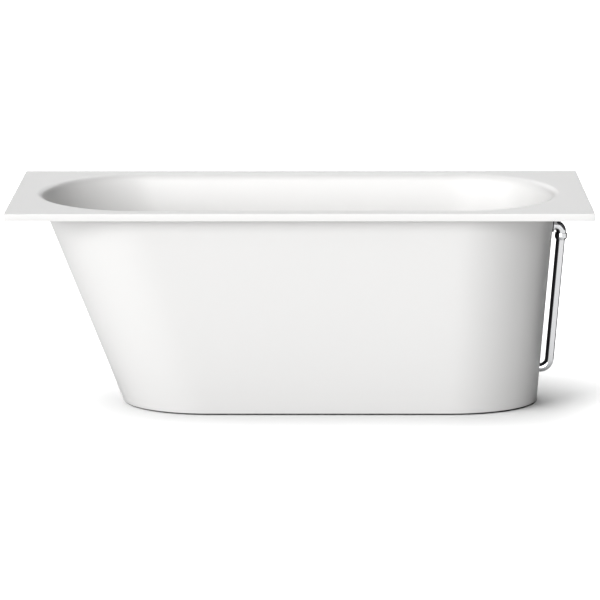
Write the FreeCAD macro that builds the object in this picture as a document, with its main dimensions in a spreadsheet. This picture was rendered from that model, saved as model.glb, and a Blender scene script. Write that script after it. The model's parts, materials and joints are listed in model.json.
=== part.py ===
import FreeCAD
import Part
import Sketcher
import math
import os
from types import SimpleNamespace

# A free-standing bath: an oval, tapering vessel under a flat rectangular deck, with an outside overflow pipe
# at its foot end, a push-to-open waste, a shallow trap and four levelling feet hidden inside the skirt.
# Millimetres. The origin is on the floor under the middle of the deck.
# +X is towards the pipe's end, +Y towards the back and +Z up.

DECK = {
    "deck_length": 1600,
    "deck_width": 700,
    "rim_height": 600,
    "slab_thickness": 21,
    "slab_edge_round": 1.5,
    "mouth_round": 26,
}

HULL = {
    "wall": 12,
    "foot_gap": 4,
    "ledge_left": 66,
    "ledge_right": 83,
    "ledge_side": 51,
    "taper_left": 232,
    "taper_right": 46,
    "taper_side": 111,
    "rim_nose_left": 294,
    "rim_nose_right": 281,
    "foot_nose_left": 244,
    "foot_nose_right": 258,
}

FLOOR = {
    "floor_height": 150,
    "floor_thickness": 12,
    "cove_round": 70,
}

WASTE = {
    "waste_inset": 151,
    "flange_radius": 35,
    "flange_lip": 1.5,
    "flange_chamfer": 1.5,
    "recess_depth": 5,
    "recess_gap": 0.3,
    "upper_gasket_thickness": 1,
    "gasket_margin": 1,
    "barrel_radius": 23,
    "barrel_bore": 19,
    "barrel_drop": 20,
    "barrel_hole_gap": 1.5,
    "thread_gap": 0.2,
    "seat_radius": 30,
    "seat_inner_radius": 24,
    "seat_drop": 1.8,
    "seat_cone": 2,
    "spider_lift": 4,
    "spider_height": 5,
    "spider_arm": 3,
    "hub_radius": 8,
    "lower_gasket_thickness": 2.5,
    "body_flange_radius": 33,
    "body_flange_thickness": 4,
    "body_radius": 27,
    "body_drop": 58,
    "body_cone": 5,
    "tail_radius": 22.5,
    "tail_drop": 72,
    "tail_bore": 17.5,
    "branch_wall": 4.15,
    "branch_reach": 56,
}

PIPE = {
    "overflow_drop": 95,
    "tube_radius": 12.75,
    "tube_wall": 1.25,
    "tube_gap": 13,
    "tube_bend": 27,
    "tube_fit_gap": 0.1,
    "tube_insertion": 16,
    "leg_drop": 44,
    "tube_seal_length": 4,
    "tube_nut_margin": 5.8,
    "tube_nut_grip": 14,
    "tube_nut_end": 4,
    "nut_play": 0.3,
    "hull_bore_margin": 4.25,
    "grommet_margin": 4,
    "grommet_flange": 6,
    "grommet_recess": 2,
    "grommet_bite": 3,
}

ELBOW = {
    "elbow_radius": 14,
    "elbow_bore": 10.5,
    "elbow_bend": 18,
    "elbow_flange_radius": 20,
    "elbow_flange": 3,
    "spigot_end": 0.5,
    "socket_wall": 2.65,
    "socket_top": 21,
    "socket_bottom": 31,
    "socket_insertion": 7,
    "elbow_seal_length": 3,
    "collar_top": 20,
    "collar_top_wall": 0.8,
    "collar_wall": 1.8,
    "collar_shoulder": 29,
    "collar_band": 4,
    "collar_taper": 6,
    "collar_end_wall": 0.95,
    "washer_thickness": 2.5,
    "washer_bite": 2,
    "washer_gap": 0.3,
    "inner_washer_radius": 23,
    "backnut_radius": 24,
    "backnut_thickness": 3.5,
}

COVER = {
    "cover_radius": 32,
    "cover_skin": 2.5,
    "cover_depth": 9.5,
    "cover_boss_radius": 5,
    "cover_boss": 2,
    "cover_slot": 6,
    "cover_slot_depth": 6,
    "cover_slot_spacing": 20,
    "screw_radius": 2.5,
    "screw_hole_gap": 0.1,
    "screw_head_radius": 4.5,
    "screw_head": 2.5,
    "screw_length": 11,
    "screw_key_radius": 1.5,
    "screw_key_depth": 1.2,
    "bridge_hub_radius": 4,
    "bridge_nose": 1.5,
    "bridge_thickness": 4.5,
}

PLUG = {
    "plug_radius": 29.6,
    "plug_edge": 1.4,
    "plug_crown": 2.4,
    "plug_lift": 0.2,
    "plug_seal_radius": 28,
    "plug_seal_inner_radius": 21,
    "plug_play": 0.3,
    "stem_radius": 2.5,
    "stem_length": 40,
    "cartridge_radius": 5,
    "cartridge_fit_gap": 0.1,
    "cartridge_length": 34,
    "cartridge_head_radius": 7.5,
    "cartridge_head": 4,
}

TRAP = {
    "trap_pipe_radius": 20,
    "trap_bore": 17.5,
    "trap_bend": 30,
    "trap_collar": 3,
    "trap_washer_thickness": 2,
    "trap_nut_across": 50,
    "trap_nut_grip": 8,
    "trap_nut_shoulder": 3,
    "trap_straight": 7,
    "riser_thread": 10,
    "outlet_bend": 26,
    "outlet_rise": 34,
    "outlet_reach": 62,
    "drop_socket_radius": 24,
    "drop_socket_depth": 20,
    "drop_socket_shoulder": 4,
    "drop_fit_gap": 0.1,
    "drop_foot": 8,
}

SUPPORT = {
    "board_end_gap": 102,
    "board_trap_gap": 36,
    "board_side_gap": 23,
    "board_thickness": 15,
    "board_corner": 40,
    "rail_inset": 100,
    "rail_overhang": 5,
    "rail_width": 40,
    "rail_depth": 25,
    "rail_sheet": 3,
    "rail_screw_inset": 55,
    "rail_screw_radius": 2.5,
    "rail_screw_gap": 0.5,
    "pilot_gap": 0.1,
    "rail_screw_bite": 10,
    "rail_screw_head_radius": 5,
    "rail_screw_head": 2.5,
    "foot_inset": 30,
    "stud_radius": 6,
    "stud_fit_gap": 0.05,
    "stud_hole_gap": 0.5,
    "stud_end_gap": 4,
    "stud_chamfer": 1,
    "stud_neck_radius": 5,
    "stud_key_across": 14,
    "stud_key_height": 8,
    "rail_nut_across": 19,
    "rail_nut_height": 10,
    "locknut_height": 6,
    "pad_radius": 25,
    "pad_edge": 4,
    "pad_shoulder": 8,
    "pad_boss_radius": 10,
    "pad_boss_height": 16,
    "pad_socket_floor": 7,
    "pad_slope": 3,
    "pad_fit_gap": 0.1,
}

OVERRUN = {
    "cut_overrun": 5,
    "edge_tolerance": 0.1,
}

GROUPS = (DECK, HULL, FLOOR, WASTE, PIPE, ELBOW, COVER, PLUG, TRAP, SUPPORT, OVERRUN)

SLOT_COUNT = 5
CORNERS = {
    "front_left": ("left", -1),
    "front_right": ("right", -1),
    "back_left": ("left", 1),
    "back_right": ("right", 1),
}


class Length:
    """A size that holds its value and the spreadsheet expression that it comes from."""

    def __init__(self, value, text):
        self.value = value
        self.text = text

    def joined(self, sign, other, value):
        return Length(value, f"({self.text} {sign} {as_length(other).text})")

    def __add__(self, other):
        return self.joined("+", other, self.value + as_length(other).value)

    def __sub__(self, other):
        return self.joined("-", other, self.value - as_length(other).value)

    def __mul__(self, other):
        return self.joined("*", other, self.value * as_length(other).value)

    def __truediv__(self, other):
        return self.joined("/", other, self.value / as_length(other).value)

    def __neg__(self):
        return Length(-self.value, f"(0 - {self.text})")


def as_length(number):
    return number if isinstance(number, Length) else Length(float(number), str(number))


def arctangent(rise, run):
    degrees = math.degrees(math.atan(rise.value / run.value))
    return Length(degrees, f"atan({rise.text} / {run.text})")


def sine(angle):
    return Length(math.sin(math.radians(angle.value)), f"sin({angle.text})")


def cosine(angle):
    return Length(math.cos(math.radians(angle.value)), f"cos({angle.text})")


def tangent(angle):
    return Length(math.tan(math.radians(angle.value)), f"tan({angle.text})")


ZERO = Length(0.0, "0")
FULL_TURN = 360
RIGHT_ANGLE = Length(90.0, "90 deg")
HEXAGON_CORNER = 2 / math.sqrt(3)
ACROSS = FreeCAD.Vector(0, 1, 0)
TOWARDS_HEAD = FreeCAD.Vector(-1, 0, 0)

doc = FreeCAD.newDocument("Bathtub")
finished = {}


def fill_sheet(groups):
    """Write every size to the sheet and give it back as a Length under its own name."""
    sheet = doc.addObject("Spreadsheet::Sheet", "Sizes")
    sizes = {}
    row = 1
    for group in groups:
        for name, value in group.items():
            sheet.set(f"A{row}", name.replace("_", " "))
            sheet.set(f"B{row}", str(value))
            sheet.setAlias(f"B{row}", name)
            sizes[name] = Length(float(value), f"Sizes.{name}")
            row += 1
    doc.recompute()
    return SimpleNamespace(**sizes)


size = fill_sheet(GROUPS)


# Helpers for objects, places and sketches


def bind(thing, path, length):
    thing.setExpression(path, length.text)


def place(thing, x=ZERO, y=ZERO, z=ZERO, lean=None, about=ACROSS):
    """Stand an object at a place, turned about an axis, the Y axis as a rule, where an angle is given."""
    turn = FreeCAD.Rotation()
    if lean is not None:
        turn = FreeCAD.Rotation(about, lean.value)
    thing.Placement = FreeCAD.Placement(FreeCAD.Vector(x.value, y.value, z.value), turn)
    bind(thing, "Placement.Base.x", x)
    bind(thing, "Placement.Base.y", y)
    bind(thing, "Placement.Base.z", z)
    if lean is not None:
        bind(thing, "Placement.Rotation.Angle", lean)
    return thing


def new_body(label):
    body = doc.addObject("PartDesign::Body", label)
    body.Label = label
    return body


def new_sketch(body, role, name, offset=ZERO):
    """A sketch on one of the body's own origin planes, moved along that plane's normal."""
    sketch = body.newObject("Sketcher::SketchObject", name)
    plane = [item for item in body.Origin.OriginFeatures if item.Role == role][0]
    sketch.AttachmentSupport = [(plane, "")]
    sketch.MapMode = "FlatFace"
    sketch.AttachmentOffset = FreeCAD.Placement(FreeCAD.Vector(0, 0, offset.value), FreeCAD.Rotation())
    bind(sketch, "AttachmentOffset.Base.z", offset)
    return sketch


def hold(sketch, kind, places, length):
    """Add a sized constraint and tie it to its expression."""
    index = sketch.addConstraint(Sketcher.Constraint(kind, *places, length.value))
    bind(sketch, f"Constraints[{index}]", length)


def hold_point(sketch, geometry, end, x, y):
    """Fix a point of the sketch at (x, y) from its origin."""
    for kind, axis, length in (("DistanceX", -2, x), ("DistanceY", -1, y)):
        if length is ZERO:
            sketch.addConstraint(Sketcher.Constraint("PointOnObject", geometry, end, axis))
        else:
            hold(sketch, kind, (-1, 1, geometry, end), length)


def draw_outline(sketch, corners):
    """A closed outline of straight lines through the corners."""
    points = [FreeCAD.Vector(x.value, y.value, 0) for x, y in corners]
    lines = []
    for index, start in enumerate(points):
        end = points[(index + 1) % len(points)]
        lines.append(sketch.addGeometry(Part.LineSegment(start, end), False))
    for index, line in enumerate(lines):
        following = lines[(index + 1) % len(lines)]
        sketch.addConstraint(Sketcher.Constraint("Coincident", line, 2, following, 1))
    for line, (x, y) in zip(lines, corners):
        hold_point(sketch, line, 1, x, y)


def draw_circle(sketch, x, y, radius):
    middle = FreeCAD.Vector(x.value, y.value, 0)
    circle = sketch.addGeometry(Part.Circle(middle, FreeCAD.Vector(0, 0, 1), radius.value), False)
    hold(sketch, "Radius", (circle,), radius)
    hold_point(sketch, circle, 3, x, y)


def draw_end(sketch, side, middle, nose, half_width):
    """Half an ellipse that closes one end of an oval: side is 1 at the right end and -1 at the left end."""
    x = middle.value
    a = nose.value
    b = half_width.value
    centre = FreeCAD.Vector(x, 0, 0)
    start = -math.pi / 2 if side > 0 else math.pi / 2
    if a >= b:
        ellipse = Part.Ellipse(FreeCAD.Vector(x + a, 0, 0), FreeCAD.Vector(x, b, 0), centre)
        longer, shorter = nose, half_width
    else:
        ellipse = Part.Ellipse(FreeCAD.Vector(x, b, 0), FreeCAD.Vector(x - a, 0, 0), centre)
        longer, shorter = half_width, nose
        start -= math.pi / 2
    arc = sketch.addGeometry(Part.ArcOfEllipse(ellipse, start, start + math.pi), False)
    sketch.exposeInternalGeometry(arc)
    long_axis = arc + 1
    short_axis = arc + 2
    hold_point(sketch, arc, 3, middle, ZERO)
    direction = "Horizontal" if a >= b else "Vertical"
    sketch.addConstraint(Sketcher.Constraint(direction, long_axis))
    hold(sketch, "Distance", (long_axis,), longer * 2)
    hold(sketch, "Distance", (short_axis,), shorter * 2)
    for end in (1, 2):
        sketch.addConstraint(Sketcher.Constraint("Vertical", arc, 3, arc, end))
    return arc


def draw_oval(sketch, outline):
    """A closed oval: two straight sides between two half ellipses."""
    left, right, half_width, nose_left, nose_right = outline
    right_middle = right - nose_right
    left_middle = nose_left - left
    right_arc = draw_end(sketch, 1, right_middle, nose_right, half_width)
    left_arc = draw_end(sketch, -1, left_middle, nose_left, half_width)
    for start_arc, end_arc, start, end, y in (
        (right_arc, left_arc, right_middle, left_middle, half_width.value),
        (left_arc, right_arc, left_middle, right_middle, -half_width.value),
    ):
        first = FreeCAD.Vector(start.value, y, 0)
        last = FreeCAD.Vector(end.value, y, 0)
        line = sketch.addGeometry(Part.LineSegment(first, last), False)
        sketch.addConstraint(Sketcher.Constraint("Coincident", line, 1, start_arc, 2))
        sketch.addConstraint(Sketcher.Constraint("Coincident", line, 2, end_arc, 1))


def draw_rectangle(sketch, low_x, low_y, high_x, high_y):
    draw_outline(sketch, ((low_x, low_y), (high_x, low_y), (high_x, high_y), (low_x, high_y)))


def draw_bent_path(sketch, start, first, last, end, middle):
    """An open path: a line from start to first, an arc about middle to last, and a line to end."""
    lines = []
    for a, b in ((start, first), (last, end)):
        points = [FreeCAD.Vector(x.value, y.value, 0) for x, y in (a, b)]
        line = sketch.addGeometry(Part.LineSegment(*points), False)
        hold_point(sketch, line, 1, *a)
        hold_point(sketch, line, 2, *b)
        lines.append(line)
    centre = FreeCAD.Vector(middle[0].value, middle[1].value, 0)
    angles = []
    for x, y in (first, last):
        angles.append(math.atan2(y.value - centre.y, x.value - centre.x))
    forward = (angles[1] - angles[0]) % (2 * math.pi) < math.pi
    reach = math.hypot(first[0].value - centre.x, first[1].value - centre.y)
    circle = Part.Circle(centre, FreeCAD.Vector(0, 0, 1), reach)
    if forward:
        arc = sketch.addGeometry(Part.ArcOfCircle(circle, angles[0], angles[1]), False)
        ends = (1, 2)
    else:
        arc = sketch.addGeometry(Part.ArcOfCircle(circle, angles[1], angles[0]), False)
        ends = (2, 1)
    sketch.addConstraint(Sketcher.Constraint("Coincident", arc, ends[0], lines[0], 2))
    sketch.addConstraint(Sketcher.Constraint("Coincident", arc, ends[1], lines[1], 1))
    hold(sketch, "DistanceY", (-1, 1, arc, 3), middle[1])


# Helpers for solids


def lathe(label, corners, x=ZERO, y=ZERO, z=ZERO, lean=None):
    """A round piece turned about its own Z axis from an outline of (radius, height) corners."""
    body = new_body(label)
    sketch = new_sketch(body, "XZ_Plane", f"{label}_outline")
    draw_outline(sketch, corners)
    turn = body.newObject("PartDesign::Revolution", f"{label}_turned")
    turn.Profile = sketch
    turn.ReferenceAxis = (sketch, ["V_Axis"])
    turn.Angle = FULL_TURN
    return place(body, x, y, z, lean)


def ring(label, inner, outer, low, high, x=ZERO, y=ZERO, z=ZERO, lean=None):
    corners = ((inner, low), (outer, low), (outer, high), (inner, high))
    return lathe(label, corners, x, y, z, lean)


def piped(label, plane, section_plane, path_points, section_place, radii, offset):
    """A bar, or a tube where two radii are given, along a bent path from a section in an origin plane."""
    body = new_body(label)
    path = new_sketch(body, plane, f"{label}_path")
    draw_bent_path(path, *path_points)
    section = new_sketch(body, section_plane, f"{label}_section", offset)
    for radius in radii:
        draw_circle(section, *section_place, radius)
    pipe = body.newObject("PartDesign::AdditivePipe", f"{label}_pipe")
    pipe.Profile = section
    pipe.Spine = path
    return body


def box(label, x, y, z, length, width, height):
    block = doc.addObject("Part::Box", label)
    bind(block, "Length", length)
    bind(block, "Width", width)
    bind(block, "Height", height)
    return place(block, x, y, z)


def hexagon(label, across, height, x=ZERO, y=ZERO, z=ZERO, lean=None):
    """A six-sided bar of the given width across its flats."""
    bar = doc.addObject("Part::Prism", label)
    bar.Polygon = 6
    bind(bar, "Circumradius", across / 2 * HEXAGON_CORNER)
    bind(bar, "Height", height)
    return place(bar, x, y, z, lean)


def cut(label, base, tool):
    result = doc.addObject("Part::Cut", label)
    result.Base = base
    result.Tool = tool
    return result


def common(label, base, tool):
    result = doc.addObject("Part::Common", label)
    result.Base = base
    result.Tool = tool
    return result


def fuse(label, *pieces):
    result = doc.addObject("Part::MultiFuse", label)
    result.Shapes = list(pieces)
    return result


def group(label, pieces):
    result = doc.addObject("Part::Compound", label)
    result.Links = list(pieces)
    return result


def finish(label, thing):
    """Take an object as a finished piece, whose label names its file."""
    thing.Label = label
    finished[label] = thing
    return thing


def edges_where(feature, wanted):
    names = []
    for index, edge in enumerate(feature.Shape.Edges, 1):
        if wanted(edge.BoundBox):
            names.append(f"Edge{index}")
    return names


def at_height(bounds, height):
    near = size.edge_tolerance.value
    return abs(bounds.ZMin - height) < near and abs(bounds.ZMax - height) < near


def round_edges(body, label, feature, radius, wanted):
    doc.recompute()
    fillet = body.newObject("PartDesign::Fillet", label)
    fillet.Base = (feature, edges_where(feature, wanted))
    bind(fillet, "Radius", radius)
    return fillet


# Heights and places that several pieces share

slab_bottom = size.rim_height - size.slab_thickness
floor_bottom = size.floor_height - size.floor_thickness
hull_rise = size.rim_height - size.foot_gap
rim_left = size.deck_length / 2 - size.ledge_left
rim_right = size.deck_length / 2 - size.ledge_right
rim_half_width = size.deck_width / 2 - size.ledge_side
foot_left = rim_left - size.taper_left
foot_right = rim_right - size.taper_right
foot_half_width = rim_half_width - size.taper_side
waste_place = foot_right - size.waste_inset
body_bottom = floor_bottom - size.body_drop
tail_bottom = floor_bottom - size.tail_drop
leg_height = floor_bottom - size.leg_drop
overflow_height = size.rim_height - size.overflow_drop


def between(low, high, height):
    """A size of the hull at a height, on the straight line between its foot and its rim."""
    return low + (high - low) * (height - size.foot_gap) / hull_rise


def hull_outline(height, inset):
    """Left and right reach, half width and both nose lengths of the hull at a height, drawn in by inset."""
    levels = (
        between(foot_left, rim_left, height),
        between(foot_right, rim_right, height),
        between(foot_half_width, rim_half_width, height),
        between(size.foot_nose_left, size.rim_nose_left, height),
        between(size.foot_nose_right, size.rim_nose_right, height),
    )
    return [level - inset for level in levels]


def right_wall(height):
    """Where the outer face of the right wall is, in the middle plane."""
    return between(foot_right, rim_right, height)


wall_lean = arctangent(size.taper_right, hull_rise)
outward_lean = RIGHT_ANGLE + wall_lean
tube_offset = size.tube_gap + size.tube_radius
tube_socket_radius = size.tube_radius + size.tube_fit_gap
branch_radius = tube_socket_radius + size.branch_wall
hull_bore_radius = size.tube_radius + size.hull_bore_margin


# Tub: deck slab, hull wall and basin floor


def oval_sketch(body, name, height, inset):
    sketch = new_sketch(body, "XY_Plane", name, height)
    draw_oval(sketch, hull_outline(height, inset))
    return sketch


def loft_between(body, kind, name, low, high, inset):
    """A straight-sided loft of the hull's outline between two heights."""
    loft = body.newObject(kind, name)
    loft.Profile = oval_sketch(body, f"{name}_low", low, inset)
    loft.Sections = [oval_sketch(body, f"{name}_high", high, inset)]
    loft.Ruled = True
    return loft


def build_tub_blank():
    """Deck, hull, basin and hollow skirt in one, before it is divided at its glued seams."""
    body = new_body("tub_blank")
    loft_between(body, "PartDesign::AdditiveLoft", "hull_form", size.foot_gap, size.rim_height, ZERO)
    slab = new_sketch(body, "XY_Plane", "slab_outline", slab_bottom)
    half_length = size.deck_length / 2
    half_width = size.deck_width / 2
    draw_rectangle(slab, -half_length, -half_width, half_length, half_width)
    pad = body.newObject("PartDesign::Pad", "slab")
    pad.Profile = slab
    bind(pad, "Length", size.slab_thickness)
    hollowing = "PartDesign::SubtractiveLoft"
    loft_between(body, hollowing, "basin", size.floor_height, size.rim_height, size.wall)
    hollow = loft_between(body, hollowing, "skirt_hollow", size.foot_gap, floor_bottom, size.wall)

    deck_end = half_length.value - size.slab_edge_round.value
    deck_side = half_width.value - size.slab_edge_round.value

    def outer(bounds):
        reach = max(abs(bounds.XMin), abs(bounds.XMax)) > deck_end
        return reach or max(abs(bounds.YMin), abs(bounds.YMax)) > deck_side

    top = size.rim_height.value
    floor = size.floor_height.value

    def mouth(bounds):
        return at_height(bounds, top) and not outer(bounds)

    def basin_floor(bounds):
        return at_height(bounds, floor)

    roll = round_edges(body, "mouth_roll", hollow, size.mouth_round, mouth)
    cove = round_edges(body, "floor_cove", roll, size.cove_round, basin_floor)
    round_edges(body, "slab_edges", cove, size.slab_edge_round, outer)
    return body


def build_tub():
    blank = build_tub_blank()
    slab_zone = box(
        "slab_zone",
        -size.deck_length / 2 - size.cut_overrun,
        -size.deck_width / 2 - size.cut_overrun,
        slab_bottom,
        size.deck_length + size.cut_overrun * 2,
        size.deck_width + size.cut_overrun * 2,
        size.slab_thickness + size.cut_overrun,
    )
    finish("deck_slab", common("deck_slab", blank, slab_zone))

    seam = new_body("floor_zone")
    outline = new_sketch(seam, "XY_Plane", "floor_seam", floor_bottom - size.cut_overrun)
    draw_oval(outline, hull_outline(size.floor_height, size.wall + size.cove_round))
    plug = seam.newObject("PartDesign::Pad", "floor_zone_pad")
    plug.Profile = outline
    bind(plug, "Length", size.floor_thickness + size.cut_overrun * 2)
    plate = common("floor_plate", blank, seam)
    well = lathe(
        "waste_well",
        (
            (ZERO, floor_bottom - size.cut_overrun),
            (size.barrel_radius + size.barrel_hole_gap, floor_bottom - size.cut_overrun),
            (size.barrel_radius + size.barrel_hole_gap, size.floor_height - size.recess_depth),
            (size.flange_radius + size.recess_gap, size.floor_height - size.recess_depth),
            (size.flange_radius + size.recess_gap, size.floor_height + size.cut_overrun),
            (ZERO, size.floor_height + size.cut_overrun),
        ),
        x=waste_place,
    )
    finish("basin_floor", cut("basin_floor", plate, well))

    bores = []
    for name, height, lean in (
        ("overflow_bore", overflow_height, outward_lean),
        ("leg_bore", leg_height, RIGHT_ANGLE),
    ):
        way = (ZERO, hull_bore_radius, -size.wall * 2, size.wall)
        bores.append(ring(name, *way, x=right_wall(height), z=height, lean=lean))
    taken = fuse("hull_cuts", slab_zone, seam, *bores)
    return finish("hull_wall", cut("hull_wall", blank, taken))


# Waste: gaskets, flange, body, and the union that takes the overflow pipe

gasket_seat = size.floor_height - size.recess_depth
flange_seat = gasket_seat + size.upper_gasket_thickness
flange_top = size.floor_height + size.flange_lip
seal_seat = size.floor_height - size.seat_drop
barrel_bottom = floor_bottom - size.barrel_drop
spider_bottom = barrel_bottom + size.spider_lift
spider_top = spider_bottom + size.spider_height
body_top = floor_bottom - size.lower_gasket_thickness
barrel_socket = size.barrel_radius + size.thread_gap
branch_mouth = waste_place + size.branch_reach
tube_end = branch_mouth - size.tube_insertion


def build_waste_flange():
    shell = lathe(
        "flange_shell",
        (
            (size.barrel_bore, barrel_bottom),
            (size.barrel_radius, barrel_bottom),
            (size.barrel_radius, flange_seat),
            (size.flange_radius, flange_seat),
            (size.flange_radius, flange_top - size.flange_chamfer),
            (size.flange_radius - size.flange_chamfer, flange_top),
            (size.seat_radius + size.flange_chamfer, flange_top),
            (size.seat_radius, seal_seat),
            (size.seat_inner_radius, seal_seat),
            (size.barrel_bore, seal_seat - size.seat_cone),
        ),
        x=waste_place,
    )
    reach = size.barrel_bore + (size.barrel_radius - size.barrel_bore) / 2
    along = box(
        "spider_along",
        waste_place - reach,
        -size.spider_arm / 2,
        spider_bottom,
        reach * 2,
        size.spider_arm,
        size.spider_height,
    )
    across = box(
        "spider_across",
        waste_place - size.spider_arm / 2,
        -reach,
        spider_bottom,
        size.spider_arm,
        reach * 2,
        size.spider_height,
    )
    hub = ring("spider_hub", ZERO, size.hub_radius, spider_bottom, spider_top, x=waste_place)
    hole = ring(
        "spider_hole",
        ZERO,
        size.cartridge_radius + size.cartridge_fit_gap,
        spider_bottom - size.cut_overrun,
        spider_top + size.cut_overrun,
        x=waste_place,
    )
    finish("waste_flange", cut("waste_flange", fuse("flange_and_spider", shell, along, across, hub), hole))


def build_waste_body():
    shell = lathe(
        "body_shell",
        (
            (ZERO, tail_bottom),
            (size.tail_radius, tail_bottom),
            (size.tail_radius, body_bottom - size.body_cone),
            (size.body_radius, body_bottom),
            (size.body_radius, body_top - size.body_flange_thickness),
            (size.body_flange_radius, body_top - size.body_flange_thickness),
            (size.body_flange_radius, body_top),
            (ZERO, body_top),
        ),
        x=waste_place,
    )
    branch = ring(
        "branch",
        ZERO,
        branch_radius,
        ZERO,
        size.branch_reach,
        x=waste_place,
        z=leg_height,
        lean=RIGHT_ANGLE,
    )
    chamber = lathe(
        "chamber",
        (
            (ZERO, tail_bottom - size.cut_overrun),
            (size.tail_bore, tail_bottom - size.cut_overrun),
            (size.tail_bore, body_bottom - size.body_cone),
            (barrel_socket, body_bottom),
            (barrel_socket, body_top + size.cut_overrun),
            (ZERO, body_top + size.cut_overrun),
        ),
        x=waste_place,
    )
    branch_bore = lathe(
        "branch_bore",
        (
            (ZERO, ZERO),
            (size.tube_radius - size.tube_wall, ZERO),
            (size.tube_radius - size.tube_wall, size.branch_reach - size.tube_insertion),
            (tube_socket_radius, size.branch_reach - size.tube_insertion),
            (tube_socket_radius, size.branch_reach + size.cut_overrun),
            (ZERO, size.branch_reach + size.cut_overrun),
        ),
        x=waste_place,
        z=leg_height,
        lean=RIGHT_ANGLE,
    )
    solid = fuse("body_solid", shell, branch)
    finish("waste_body", cut("waste_body", solid, fuse("body_bores", chamber, branch_bore)))


def build_waste():
    finish(
        "upper_waste_gasket",
        ring(
            "upper_waste_gasket",
            barrel_socket,
            size.flange_radius - size.gasket_margin,
            gasket_seat,
            flange_seat,
            x=waste_place,
        ),
    )
    finish(
        "lower_waste_gasket",
        ring(
            "lower_waste_gasket",
            barrel_socket,
            size.body_flange_radius - size.gasket_margin,
            body_top,
            floor_bottom,
            x=waste_place,
        ),
    )
    build_waste_flange()
    build_waste_body()
    seal_end = branch_mouth + size.tube_seal_length
    finish(
        "pipe_union_seal",
        ring(
            "pipe_union_seal",
            tube_socket_radius,
            branch_radius,
            branch_mouth,
            seal_end,
            z=leg_height,
            lean=RIGHT_ANGLE,
        ),
    )
    grip_start = branch_mouth - size.tube_nut_grip
    thread_radius = branch_radius + size.thread_gap
    bar = hexagon(
        "pipe_union_bar",
        (thread_radius + size.tube_nut_margin) * 2,
        seal_end - grip_start + size.tube_nut_end,
        x=grip_start,
        z=leg_height,
        lean=RIGHT_ANGLE,
    )
    cavity = lathe(
        "pipe_union_cavity",
        (
            (ZERO, grip_start - size.cut_overrun),
            (thread_radius, grip_start - size.cut_overrun),
            (thread_radius, seal_end),
            (size.tube_radius + size.nut_play, seal_end),
            (size.tube_radius + size.nut_play, seal_end + size.tube_nut_end + size.cut_overrun),
            (ZERO, seal_end + size.tube_nut_end + size.cut_overrun),
        ),
        z=leg_height,
        lean=RIGHT_ANGLE,
    )
    finish("pipe_union_nut", cut("pipe_union_nut", bar, cavity))


# Overflow: pieces on the wall are set out from the outer face, outwards along its normal

overflow_wall = right_wall(overflow_height)
washer_face = size.washer_thickness
flange_face = washer_face + size.elbow_flange
inner_face = -size.wall - size.washer_thickness
backnut_face = inner_face - size.backnut_thickness
spigot_reach = size.spigot_end - backnut_face
socket_radius = tube_socket_radius + size.socket_wall


def on_wall(builder, label, *sizes):
    """Build a round piece whose axis is the normal of the right wall at the overflow."""
    return builder(label, *sizes, overflow_wall, ZERO, overflow_height, outward_lean)


def build_tube():
    """Chromed pipe: down beside the wall, round one bend and in through the skirt to the waste body."""
    c = cosine(wall_lean)
    s = sine(wall_lean)
    drop = size.socket_bottom - size.socket_insertion
    top = (
        overflow_wall + tube_offset * c - drop * s,
        overflow_height - tube_offset * s - drop * c,
    )
    fall = (leg_height - overflow_height + tube_offset * s) / c
    corner = overflow_wall + tube_offset * c + fall * s
    turned = (RIGHT_ANGLE - wall_lean) / 2
    cut_back = size.tube_bend * tangent(turned)
    upper = (corner + cut_back * s, leg_height + cut_back * c)
    lower = (corner - cut_back, leg_height)
    middle = (corner - cut_back, leg_height + size.tube_bend)
    start = (tube_end, leg_height)
    points = (start, lower, upper, top, middle)
    radii = (size.tube_radius, size.tube_radius - size.tube_wall)
    section_place = (ZERO, leg_height)
    tube = piped("overflow_tube", "XZ_Plane", "YZ_Plane", points, section_place, radii, tube_end)
    finish("overflow_tube", tube)


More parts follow.
